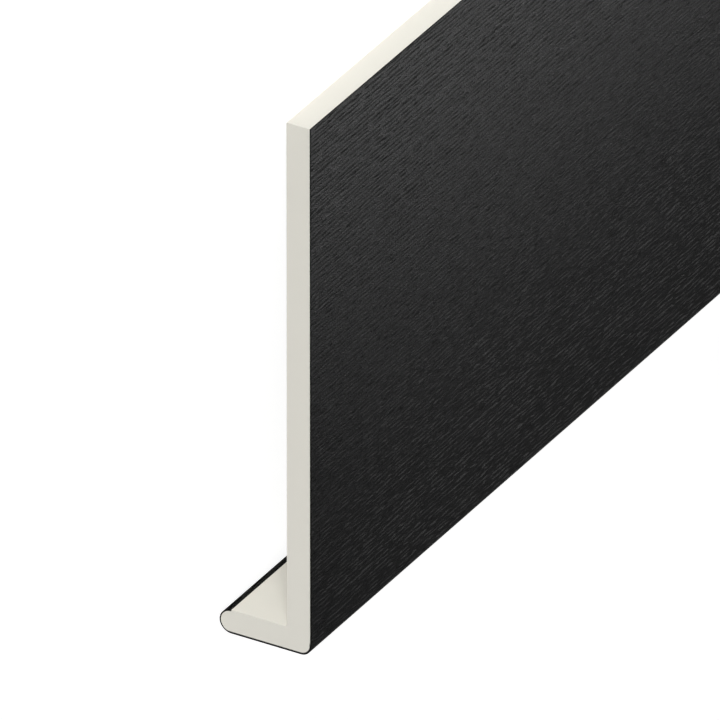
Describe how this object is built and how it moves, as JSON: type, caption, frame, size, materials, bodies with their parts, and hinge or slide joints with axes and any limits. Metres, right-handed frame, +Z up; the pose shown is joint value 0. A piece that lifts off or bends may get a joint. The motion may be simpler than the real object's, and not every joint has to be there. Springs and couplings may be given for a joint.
{
  "type": "fascia board",
  "caption": "Capping fascia board of foamed plastic: a tall flat board with a short return leg and rounded nose along its foot, faced in dark woodgrain foil.",
  "frame": {"origin": "on the floor under the middle of the board's box", "axes": "+Y along the board's length from the cut end in front to the far one; +Z up, the woodgrain face looking up and tilted 7.5 degrees towards -X, where the top edge rests; the return leg points down along the +X side"},
  "size_m": [0.2024, 2.5, 0.0348],
  "materials": {
    "foamed_pvc": "satin",
    "woodgrain_foil": "satin"
  },
  "bodies": {
    "root": {"board": "foamed_pvc", "woodgrain_foil": "woodgrain_foil"}
  },
  "joints": []
}
